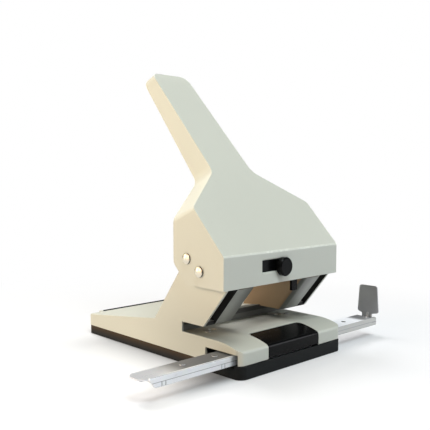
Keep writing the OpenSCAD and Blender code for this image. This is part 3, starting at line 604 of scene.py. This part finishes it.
def settle(bm, name, body, slot, *nodes, finishes=None):
    """Makes the finished piece, which rides on its body in place of its nodes"""
    mesh = bpy.data.meshes.new(name)
    bm.to_mesh(mesh)
    bm.free()
    mesh.shade_smooth()
    mesh.set_sharp_from_angle(angle=math.radians(38))
    for build in finishes or (FINISHES[slot],):
        mesh.materials.append(finish_of(build))
    piece = bpy.data.objects.new(name, mesh)
    bpy.context.scene.collection.objects.link(piece)
    normals = piece.modifiers.new("flat faces stay flat", "WEIGHTED_NORMAL")
    normals.keep_sharp = True
    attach(piece, body)
    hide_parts(*nodes)
    return piece


def rounded_copy(node, name, body, slot, radius, steps=2, degrees=40.0):
    """A node's copy with all its sharp edges rounded alike"""
    bm = cad_copy(node)
    soften(bm, corners(bm, degrees), radius, steps)
    settle(bm, name, body, slot, node)


# Pieces


class PUNCH_OT_frame(bpy.types.Operator):
    """Model the pressed frame with its table, side walls and arms"""

    bl_idname = "punch.frame"
    bl_label = "Frame"

    def execute(self, context):
        sizes = context.scene.punch_sizes
        bm = cad_copy("frame")
        high = corner("rear_deck", 1).z + 1 * MM
        front = corner("frame", 0).y
        wall = corner("frame", 1).x - 1 * MM
        front_round, round_middle = front + 7 * MM, front + 10 * MM

        def table_bend(at, top, side):
            outward = side.dot((at.x, min(at.y - round_middle, 0), 0)) > 0
            return outward and top.z > 0.6 and abs(side.z) < 0.25 and at.z < high and (
                abs(at.x) > wall or at.y < front_round)

        soften(bm, corners(bm, 40, table_bend), sizes.table_bend, sizes.bend_steps)
        stop, inner = corner("rear_deck", 0).y, corner("rear_deck", 1).x
        place, facing = web_front(inner, stop)

        def arm_inside(at, way):
            return abs(abs(at.x) - inner) < 0.2 * MM and way.x * at.x < -0.99 * abs(at.x) and at.z > high

        # Faces inside the arms in front of the web take the recess's painted shade
        split(bm, [f for f in bm.faces if arm_inside(f.calc_center_median(), f.normal)], place, facing)
        paint(bm, 1, lambda at, way: arm_inside(at, way) and (at - place).dot(facing) > 0)

        def cut(at, a, b):
            return not (at.y > stop - 1 * MM and at.z < high and abs(abs(at.x) - inner) < 0.5 * MM)

        soften(bm, corners(bm, 60, cut), sizes.cut_edge, 2)
        settle(bm, "pressed_frame", "frame", "body_paint", "frame", finishes=(body_enamel, recess_painted_shade))
        return {"FINISHED"}


class PUNCH_OT_deck(bpy.types.Operator):
    """Model the sloping rear deck"""

    bl_idname = "punch.deck"
    bl_label = "Rear deck"

    def execute(self, context):
        sizes = context.scene.punch_sizes
        bm = cad_copy("rear_deck")

        def deck_bend(at, top, wall):
            return top.z > 0.9 and abs(wall.y) > 0.9

        soften(bm, corners(bm, 40, deck_bend), sizes.table_bend, sizes.bend_steps)
        settle(bm, "sloping_deck", "frame", "body_paint", "rear_deck")
        return {"FINISHED"}


class PUNCH_OT_handle(bpy.types.Operator):
    """Model the hood and its long lever"""

    bl_idname = "punch.handle"
    bl_label = "Handle"

    def shape_end(self, bm, corner_r, lift):
        """Tightens the lever end's corners to a radius and lifts the rim round its end"""
        old_r, half, depth, reach = 10 * MM, 20.8 * MM, 13.7 * MM, 11 * MM
        draw, slope = math.radians(24), math.radians(46.5)
        back = Vector((0, math.sin(draw), math.cos(draw)))
        down = Vector((0, math.cos(draw), -math.sin(draw)))
        out = Vector((0, -math.sin(slope), math.cos(slope)))
        end = max(v.co.dot(back) for v in bm.verts)
        for v in bm.verts:
            way = Vector((abs(v.co.x) - half + old_r, v.co.dot(back) - end + old_r))
            if min(way) > -0.2 * MM and way.length > old_r / 2:
                shift = (Vector((1, 1)) - way.normalized()) * (old_r - corner_r)
                v.co += Vector((math.copysign(shift.x, v.co.x), 0, 0)) + back * shift.y
        for cut in (2 * MM, 4 * MM, 6 * MM, 8 * MM, reach):
            cut_through(bm, back * (end - cut), back)
        top = max(v.co.dot(out) for v in bm.verts if v.co.dot(back) > end - reach)
        for v in bm.verts:
            near = (v.co.dot(back) - end + reach) / reach
            if near > 0:
                v.co -= down * (lift * near ** 2 * (top - v.co.dot(out)) / depth)

    def round_slot(self, bm, front, radius):
        """Rounds the long edges of the lock's slot into its hole"""
        skin = front + 0.05 * MM
        rim = corner("handle", 0).z + 3 * MM

        def long_edge(at, face, wall):
            return face.y < -0.97 and abs(wall.z) > 0.9 and at.y < front + 0.2 * MM and at.z > rim

        ends = [v.co for e in corners(bm, 60, long_edge) for v in e.verts]
        left, right = min(p.x for p in ends), max(p.x for p in ends)
        low, high = min(p.z for p in ends), max(p.z for p in ends)
        steps = [radius * (1 - math.cos(math.radians(turn))) for turn in (22, 45, 68, 90)]
        cuts = [(Vector((x, 0, 0)), Vector((1, 0, 0))) for x in (left - 0.5 * MM, left, right, right + 0.5 * MM)]
        cuts += [(Vector((0, 0, z)), Vector((0, 0, 1))) for z in [low - s for s in steps] + [high + s for s in steps]]
        for place, facing in cuts:
            split(bm, [f for f in bm.faces if f.normal.y < -0.99 and f.calc_center_median().y < skin], place, facing)
        for v in bm.verts:
            off = max(low - v.co.z, v.co.z - high)
            if v.co.y < skin and left - WELD < v.co.x < right + WELD and -WELD < off < radius:
                v.co.y = front + radius - math.sqrt(max(0.0, radius ** 2 - (radius - off) ** 2))
        bm.normal_update()

    def execute(self, context):
        sizes = context.scene.punch_sizes
        bm = cad_copy("handle")
        front, half, highest = corner("handle", 0).y, corner("handle", 1).x, corner("handle", 1).z
        self.shape_end(bm, sizes.lever_corner, sizes.lever_lift)

        def pressed(normal):
            return abs(normal.x) < 0.02 and normal.y < -0.5

        def hood_bend(at, face, wall):
            if not pressed(face) or pressed(wall) or wall.z < -0.7:
                return False
            return face.y > -0.97 or abs(at.x) > half - 1 * MM

        soften(bm, corners(bm, 25, hood_bend), sizes.hood_bend, sizes.bend_steps)
        # The bend over the hood's front gets a stronger edge mark, which the enamel lightens into a painted highlight
        mark = bm.faces.layers.float[EDGE]
        for face in bm.faces:
            way = face.normal
            if abs(way.x) < 0.02 and -0.985 < way.y < -0.76 and face.calc_center_median().y < front + 4 * MM:
                face[mark] = sizes.front_wear
        self.round_slot(bm, front, sizes.slot_edge)
        soften(bm, corners(bm, 60), sizes.cut_edge * 0.8, 2)
        for v in bm.verts:
            v.co.z = min(v.co.z, highest)
        settle(bm, "hood_and_lever", "handle", "body_paint", "handle")
        return {"FINISHED"}


class PUNCH_OT_guides(bpy.types.Operator):
    """Model the two punch guides with their bushes"""

    bl_idname = "punch.guides"
    bl_label = "Punch guides"

    def execute(self, context):
        sizes = context.scene.punch_sizes
        place, facing = web_front(corner("rear_deck", 1).x, corner("rear_deck", 0).y)
        sheet, near = 1.5 * MM, 0.2 * MM
        ease = sizes.guide_bend * 0.4
        for side, sign in (("left", -1), ("right", 1)):
            node = f"punch_guide_{side}"
            front = corner(node, 0).y + 2 * MM
            bm = cad_copy(node)
            inner = min(abs(corner(node, 0).x), abs(corner(node, 1).x))
            bmesh.ops.translate(bm, vec=(-sign * ease, 0, 0), verts=[
                v for v in bm.verts if abs(v.co.x) < inner + sheet + near / 2])
            inner -= ease
            cheek_end, recess = inner + 7 * MM, inner + 20 * MM

            def bend(at, strip, cheek):
                return strip.y < -0.5 and strip.z < -0.1 and abs(cheek.x) > 0.9 and abs(at.x) < inner + near

            def inside_bend(at, strip, cheek):
                return (strip.y > 0.5 and strip.z > 0.1 and abs(cheek.x) > 0.9
                        and abs(abs(at.x) - inner - sheet) < near)

            def blacked(at, way):
                faces_in = way.x * sign > 0.9 or abs(way.x) < 0.1 and way.y < 0
                return (faces_in and way.z > -0.9 and at.y > front and abs(at.x) > recess + 0.7 * MM
                        and (at - place).dot(facing) > -near / 2)

            split(bm, [f for f in bm.faces if abs(f.normal.x) > 0.99 and abs(f.calc_center_median().x) > recess],
                  place, facing)
            soften(bm, corners(bm, 40, bend), sizes.guide_bend, sizes.bend_steps + 2)
            soften(bm, corners(bm, 40, inside_bend), sizes.guide_bend - sheet, sizes.bend_steps + 2)
            for face in bm.faces:
                face[bm.faces.layers.float[EDGE]] = 0.0
            soften(bm, corners(bm, 50), sizes.cut_edge * 0.6, 2)
            # Painted shade: the bends get the darker enamel, the inner cheeks the brown shade and the recess the near
            # black
            paint(bm, 3, lambda at, way: abs(at.x) < inner + sizes.guide_bend and abs(way.x) > 0.08 and way.y < 0)
            paint(bm, 1, lambda at, way: abs(at.x) < cheek_end and way.y > -0.3)
            paint(bm, 2, blacked)
            settle(bm, f"guide_{side}", "frame", "body_paint", node,
                   finishes=(guide_enamel, guide_cheek_shade, recess_painted_shade, bend_shade_enamel))
            rounded_copy(f"guide_bush_{side}", f"bush_{side}", "frame", "bush_brass", sizes.steel_edge)
        rounded_copy("pivot_bushes", "pivot_spacers", "frame", "bush_brass", sizes.steel_edge)
        return {"FINISHED"}


class PUNCH_OT_die(bpy.types.Operator):
    """Model the die plate, its rivets, the rail's bracket and the two hinge pins"""

    bl_idname = "punch.die"
    bl_label = "Die plate and brackets"

    def execute(self, context):
        sizes = context.scene.punch_sizes
        for node, name in (("die_plate", "die"), ("die_rivets", "die_rivet_pair"), ("rail_bracket", "rail_carrier"),
                           ("clamp_pin", "clamp_hinge_pin"), ("tray_pin", "tray_hinge_pin")):
            rounded_copy(node, name, "frame", "tool_steel", sizes.steel_edge)
        return {"FINISHED"}


class PUNCH_OT_pins(bpy.types.Operator):
    """Turn the pivot pin and the drive pin with their domed heads, and model the rollers"""

    bl_idname = "punch.pins"
    bl_label = "Cross pins"

    def execute(self, context):
        sizes = context.scene.punch_sizes
        hood = corner("handle", 1).x
        rise, rim, trim, steps = 2.2 * MM, 1.0 * MM, 0.5 * MM, 8
        for node, name, body, shank in (("pivot_pin", "pivot_pin_domed", "frame", 4.0 * MM),
                                        ("drive_pin", "drive_pin_domed", "handle", 3.5 * MM)):
            low, high = corner(node, 0), corner(node, 1)
            middle = (low + high) / 2
            head = (high.z - low.z) / 2 - trim
            tip, seat = high.x, high.x - rise
            ball = (head ** 2 + (rise - rim) ** 2) / (2 * (rise - rim))
            turns = [math.asin(head / ball) * i / steps for i in range(steps + 1)]
            dome = [(tip - ball + ball * math.cos(turn), ball * math.sin(turn)) for turn in turns]
            half = dome + [(seat, head), (seat, shank)]
            profile = half + [(-along, out) for along, out in reversed(half)]
            bm = bmesh.new()
            bm.faces.layers.float.new(EDGE)
            lathe(bm, profile, Vector((0, middle.y, middle.z)), Vector((1, 0, 0)), Vector((0, 0, 1)),
                  sizes.lathe_steps)
            rims = [e for e in corners(bm, 40) if abs(centre(e).x) > hood - 2 * MM]
            soften(bm, rims, sizes.steel_edge / 2, 2)
            # Marks the rims, which the nickel finish darkens as painted shade
            for face in bm.faces:
                face[bm.faces.layers.float[EDGE]] = float(abs(face.normal.x) < 0.3)
            settle(bm, name, body, "plated_steel", node, finishes=(satin_nickel,))
        rounded_copy("drive_rollers", "drive_roller_pair", "handle", "tool_steel", sizes.steel_edge)
        return {"FINISHED"}


class PUNCH_OT_lock(bpy.types.Operator):
    """Model the lock's knob, slider and straps"""

    bl_idname = "punch.lock"
    bl_label = "Lock"

    def execute(self, context):
        sizes = context.scene.punch_sizes
        rounded_copy("lock_knob", "knob", "lock", "gloss_black", sizes.steel_edge, 2, 30)
        rounded_copy("lock_slider", "slider", "lock", "gloss_black", sizes.steel_edge)
        rounded_copy("lock_straps", "slider_straps", "handle", "tool_steel", sizes.steel_edge)
        return {"FINISHED"}


class PUNCH_OT_punches(bpy.types.Operator):
    """Model the two punches and wind their return springs"""

    bl_idname = "punch.punches"
    bl_label = "Punches and springs"

    def execute(self, context):
        sizes = context.scene.punch_sizes
        turns, steps = 8, 20
        wire, travel = 0.7 * MM, 13.0 * MM
        for side in ("left", "right"):
            rounded_copy(f"punch_pin_{side}", f"punch_{side}", f"punch_{side}", "tool_steel", sizes.steel_edge / 2)
            node = f"return_spring_{side}"
            low, high = corner(node, 0), corner(node, 1)
            middle = (corner(f"punch_pin_{side}", 0) + corner(f"punch_pin_{side}", 1)) / 2
            tall = high.z - low.z
            radius = high.x - middle.x - wire
            climb = (tall - 2 * wire) / (turns * steps)
            start = Matrix.Translation((middle.x + radius, middle.y, low.z + wire))
            bm = bmesh.new()
            bm.faces.layers.float.new(EDGE)
            ring = bmesh.ops.create_circle(
                bm, cap_ends=True, radius=wire, segments=sizes.wire_sides,
                matrix=start @ Matrix.Rotation(math.pi / 2, 4, "X"))
            faces = list({f for v in ring["verts"] for f in v.link_faces})
            bmesh.ops.spin(
                bm, geom=faces, cent=(middle.x, middle.y, 0), axis=(0, 0, 1), dvec=(0, 0, climb),
                angle=2 * math.pi * turns, steps=turns * steps)
            bmesh.ops.recalc_face_normals(bm, faces=bm.faces)
            spring = settle(bm, f"spring_{side}", "frame", "tool_steel", node)
            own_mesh(spring)
        return {"FINISHED"}


class PUNCH_OT_rail(bpy.types.Operator):
    """Model the sliding rail, its stop strip and its rivets"""

    bl_idname = "punch.rail"
    bl_label = "Guide rail"

    def channel(self, sizes, low, high):
        """The channel, with a crease along its front and two pairs of crimps, both painted darker as shade"""
        crease, crimp_w, crimp_h, crimp_d = 0.12 * MM, 1.0 * MM, 3.4 * MM, 0.35 * MM
        bm = cad_copy("guide_rail")
        for v in bm.verts:
            if 0.1 * MM < v.co.y - low.y < 0.6 * MM and v.co.z < high - 1 * MM:
                v.co.y = low.y + crease
        for x in (-128.7 * MM, -125.4 * MM, -73.7 * MM, -70.6 * MM):
            for side in (-0.5, 0.5):
                cut_through(bm, (x + side * crimp_w, 0, 0), (1, 0, 0))

        def crimped(face):
            at, along = face.calc_center_median(), [v.co.x for v in face.verts]
            return (face.normal.y < -0.9 and at.y < low.y + 0.05 * MM and at.z < low.z + crimp_h
                    and max(along) - min(along) < 1.2 * crimp_w)

        crimps = [f for f in bm.faces if crimped(f)]
        bmesh.ops.inset_individual(bm, faces=crimps, thickness=0.06 * MM, depth=-crimp_d)
        # The crimps and the crease's upper faces take the darker zinc as painted shade
        for face in crimps:
            face.material_index = 1
        paint(bm, 1, lambda at, way: way.y < -0.8 and way.z > 0.1 and at.z < high - 2 * MM)
        soften(bm, corners(bm, 50, lambda at, a, b: at.y > low.y + 0.5 * MM or at.z > high - 1 * MM),
               sizes.steel_edge, 2)
        settle(bm, "rail_channel", "rail", "plated_steel", "guide_rail", finishes=(zinc_plate, shaded_zinc))

    def strip(self, sizes, front, high, end):
        """The strip with its stop plate, and a rounded rib where the plate stands on it"""
        rib_y, rib_x, rib_shift = front + 5.6 * MM, end - 6.5 * MM, 2.6 * MM
        bm = cad_copy("stop_strip")
        for v in bm.verts:
            if abs(v.co.y - rib_y) < 1.6 * MM and abs(v.co.x - rib_x) < 0.6 * MM:
                v.co.x += rib_shift

        def rib(at, slope, side):
            return slope.x < -0.5 and slope.z > 0.3 and abs(side.y) > 0.9

        soften(bm, corners(bm, 60, rib), sizes.rib_edge, 4)
        soften(bm, corners(bm, 40), sizes.steel_edge, 2)
        # The stop plate and its rib take the darker zinc as painted shade and dark reflection
        paint(bm, 1, lambda at, way: at.z > high + 2 * MM or way.x < -0.3 and way.z > 0.3)
        settle(bm, "strip_and_stop", "rail", "plated_steel", "stop_strip", finishes=(zinc_plate, shaded_zinc))

    def execute(self, context):
        sizes = context.scene.punch_sizes
        self.channel(sizes, corner("guide_rail", 0), corner("guide_rail", 1).z)
        self.strip(sizes, corner("guide_rail", 0).y, corner("guide_rail", 1).z, corner("stop_strip", 1).x)
        rounded_copy("rail_rivets", "rail_rivet_pair", "rail", "plated_steel", sizes.steel_edge)
        return {"FINISHED"}


class PUNCH_OT_clamp(bpy.types.Operator):
    """Model the rail's clamp flap"""

    bl_idname = "punch.clamp"
    bl_label = "Rail clamp"

    def execute(self, context):
        sizes = context.scene.punch_sizes
        rounded_copy("rail_clamp", "clamp_flap", "clamp", "gloss_black", sizes.moulded_edge * 0.6, 3, 50)
        return {"FINISHED"}


class PUNCH_OT_tray(bpy.types.Operator):
    """Model the chip tray"""

    bl_idname = "punch.tray"
    bl_label = "Chip tray"

    def execute(self, context):
        sizes = context.scene.punch_sizes
        bm = cad_copy("chip_tray")
        low, high = corner("chip_tray", 0), corner("chip_tray", 1)
        middle = (low.y + high.y) / 2

        def outer(at, wall, flat):
            outward = wall.dot((at.x, at.y - middle, 0)) > 0
            return outward and abs(wall.z) < 0.3 and abs(flat.z) > 0.9 and (
                at.z < low.z + 1 * MM or at.y < low.y + 8 * MM or abs(at.x) > high.x - 1 * MM)

        soften(bm, corners(bm, 50, outer), sizes.moulded_edge, 4)
        settle(bm, "tray", "tray", "matte_black", "chip_tray")
        return {"FINISHED"}


# Stage


class PUNCH_OT_stage(bpy.types.Operator):
    """Set the floor, the studio lights and the camera"""

    bl_idname = "punch.stage"
    bl_label = "Stage"

    def soft_light(self, context, name, place, aim, size, power, colour):
        """A round light that looks at a point"""
        data = bpy.data.lights.new(name, "AREA")
        data.shape = "DISK"
        data.size = size
        data.energy = power
        data.color = colour
        lamp = bpy.data.objects.new(name, data)
        lamp.location = place
        lamp.rotation_euler = (Vector(aim) - Vector(place)).to_track_quat("-Z", "Y").to_euler()
        context.scene.collection.objects.link(lamp)

    def floor(self, context, colour):
        """A pale floor that fades to white away from the piece, with a soft shade by the base and the rail"""
        reach, gap, pale_to, white_from = 5.0, 0.2 * MM, 0.14, 0.40
        bm = bmesh.new()
        bmesh.ops.create_grid(bm, x_segments=8, y_segments=8, size=reach)
        bmesh.ops.translate(bm, verts=bm.verts, vec=(0, 0, -gap))
        mesh = bpy.data.meshes.new("floor")
        bm.to_mesh(mesh)
        bm.free()
        f = Finish("floor_sweep")
        drift = f.noise(2.0, 2.0)
        away = f.node("ShaderNodeVectorMath", {"operation": "LENGTH"}, {0: f.place}, "Value")
        pale = f.mix(drift, tint(colour, 0.99), tint(colour, 1.01))
        near = f.node("ShaderNodeBsdfPrincipled", {}, {
            "Base Color": pale, "Roughness": 0.26 + drift * 0.06, "Specular IOR Level": 0.3})
        white = f.node("ShaderNodeEmission", {}, {"Color": (1, 1, 1, 1)})
        shown = f.node("ShaderNodeMixShader", {}, {
            0: 0.30 + 0.70 * f.above(away, pale_to, white_from), 1: near, 2: white})
        x, y, _ = f.axes()
        by_base = f.above(x, -130, -60)
        by_base = by_base * by_base * f.above(y, -100, -80) * f.below(y, 55, 100)
        by_rail = f.above(x, -135, -85) * f.above(y, -102, -88) * f.below(y, -65, -45)
        shade = (0.41 * by_base + 0.32 * by_rail) * f.below(x, -60, -50)
        shadow = f.node("ShaderNodeBsdfDiffuse", {}, {"Color": tint(colour, 0.05)})
        shown = f.node("ShaderNodeMixShader", {}, {0: shade, 1: shown, 2: shadow})
        thrown = f.node("ShaderNodeBsdfDiffuse", {}, {"Color": tint(colour, 0.45)})
        mirrored = f.node("ShaderNodeBsdfDiffuse", {}, {"Color": tint(colour, 0.95)})
        glossy = f.node("ShaderNodeLightPath", {}, {}, "Is Glossy Ray")
        unseen = f.node("ShaderNodeMixShader", {}, {0: glossy, 1: thrown, 2: mirrored})
        looked_at = f.node("ShaderNodeLightPath", {}, {}, "Is Camera Ray")
        f.node("ShaderNodeOutputMaterial", {}, {
            "Surface": f.node("ShaderNodeMixShader", {}, {0: looked_at, 1: unseen, 2: shown})})
        mesh.materials.append(f.material)
        board = bpy.data.objects.new("floor", mesh)
        context.scene.collection.objects.link(board)

    def sky(self, context, strength):
        """White for the camera, and for the piece a white backdrop in a dark room"""
        backdrop, dark_to, white_from = (0.69, 0.72, 0.0), -0.1, 0.7
        world = bpy.data.worlds.new("studio")
        context.scene.world = world
        world.use_nodes = True
        tree = world.node_tree
        tree.nodes.clear()
        way = tree.nodes.new("ShaderNodeTexCoord")
        ahead = tree.nodes.new("ShaderNodeVectorMath")
        ahead.operation = "DOT_PRODUCT"
        ahead.inputs[1].default_value = backdrop
        rise = tree.nodes.new("ShaderNodeMapRange")
        rise.interpolation_type = "SMOOTHSTEP"
        rise.inputs["From Min"].default_value = dark_to
        rise.inputs["From Max"].default_value = white_from
        rise.inputs["To Max"].default_value = strength
        seen = tree.nodes.new("ShaderNodeLightPath")
        lit, shown = tree.nodes.new("ShaderNodeBackground"), tree.nodes.new("ShaderNodeBackground")
        for back in (lit, shown):
            back.inputs["Color"].default_value = (1.0, 1.0, 1.0, 1.0)
        either = tree.nodes.new("ShaderNodeMixShader")
        out = tree.nodes.new("ShaderNodeOutputWorld")
        for one, other in ((way.outputs["Generated"], ahead.inputs[0]), (ahead.outputs["Value"], rise.inputs["Value"]),
                           (rise.outputs[0], lit.inputs["Strength"]), (seen.outputs["Is Camera Ray"], either.inputs[0]),
                           (lit.outputs[0], either.inputs[1]), (shown.outputs[0], either.inputs[2]),
                           (either.outputs[0], out.inputs["Surface"])):
            tree.links.new(one, other)

    def camera(self, context, lens):
        """The photograph's view: in front at the left, a little above the hood"""
        place = (-0.389423, -0.416667, 0.150034)
        yaw, dip, roll = 0.762046, 0.063981, 0.002788
        data = bpy.data.cameras.new("photo")
        data.lens = lens
        data.sensor_width = 36.0
        data.clip_start = 0.01
        cam = bpy.data.objects.new("photo", data)
        turn = (Matrix.Rotation(-yaw, 4, "Z") @ Matrix.Rotation(math.pi / 2 - dip, 4, "X")
                @ Matrix.Rotation(roll, 4, "Z"))
        cam.matrix_world = Matrix.Translation(place) @ turn
        context.scene.collection.objects.link(cam)
        context.scene.camera = cam

    def execute(self, context):
        stage = context.scene.punch_stage
        context.scene.view_settings.view_transform = "Standard"
        self.camera(context, stage.lens)
        self.sky(context, stage.sky)
        self.floor(context, stage.floor)
        aim = (0, 0, 0.09)
        for name, place, size, power, colour in (
                ("top_box", (0, 0, 1.6), 1.2, stage.top_power, (1.0, 1.0, 0.90)),
                ("front_box", (-0.3, -0.9, 1.7), 0.8, stage.front_power, (0.87, 0.97, 1.0)),
                ("warm_box", (-1.5, 0.1, 0.55), 0.9, stage.warm_power, (1.0, 0.71, 0.48)),
                ("rear_left_box", (-1.1, 1.1, 0.45), 0.8, stage.rear_left_power, (1.0, 0.92, 0.70)),
                ("back_box", (0, 0.9, 1.5), 0.9, stage.back_power, (1.0, 0.96, 0.95)),
                ("right_box", (0.9, -1.1, 0.5), 0.8, stage.right_power, (0.96, 0.97, 1.0))):
            self.soft_light(context, name, place, aim, size, power, colour)
        return {"FINISHED"}


class PUNCH_PT_sidebar(bpy.types.Panel):
    """Lists the punch's pieces"""

    bl_idname = "PUNCH_PT_sidebar"
    bl_label = "Hole Punch"
    bl_space_type = "VIEW_3D"
    bl_region_type = "UI"
    bl_category = "Hole Punch"

    def draw(self, context):
        for operator in OPERATORS:
            self.layout.operator(operator.bl_idname)
        for group in (context.scene.punch_sizes, context.scene.punch_finishes, context.scene.punch_stage):
            box = self.layout.box()
            for key in group.__annotations__:
                box.prop(group, key)


GROUPS = {"punch_sizes": PunchSizes, "punch_finishes": PunchFinishes, "punch_stage": PunchStage}
OPERATORS = (PUNCH_OT_stage, PUNCH_OT_frame, PUNCH_OT_deck, PUNCH_OT_handle, PUNCH_OT_guides, PUNCH_OT_die,
             PUNCH_OT_pins, PUNCH_OT_lock, PUNCH_OT_punches, PUNCH_OT_rail, PUNCH_OT_clamp, PUNCH_OT_tray)
CLASSES = tuple(GROUPS.values()) + OPERATORS + (PUNCH_PT_sidebar,)


def register():
    for cls in CLASSES:
        bpy.utils.register_class(cls)
    for name, group in GROUPS.items():
        setattr(bpy.types.Scene, name, PointerProperty(type=group))


def unregister():
    for name in GROUPS:
        delattr(bpy.types.Scene, name)
    for cls in reversed(CLASSES):
        bpy.utils.unregister_class(cls)


def main():
    register()
    for operator in OPERATORS:
        group, name = operator.bl_idname.split(".")
        getattr(getattr(bpy.ops, group), name)()


if __name__ == "__main__":
    main()
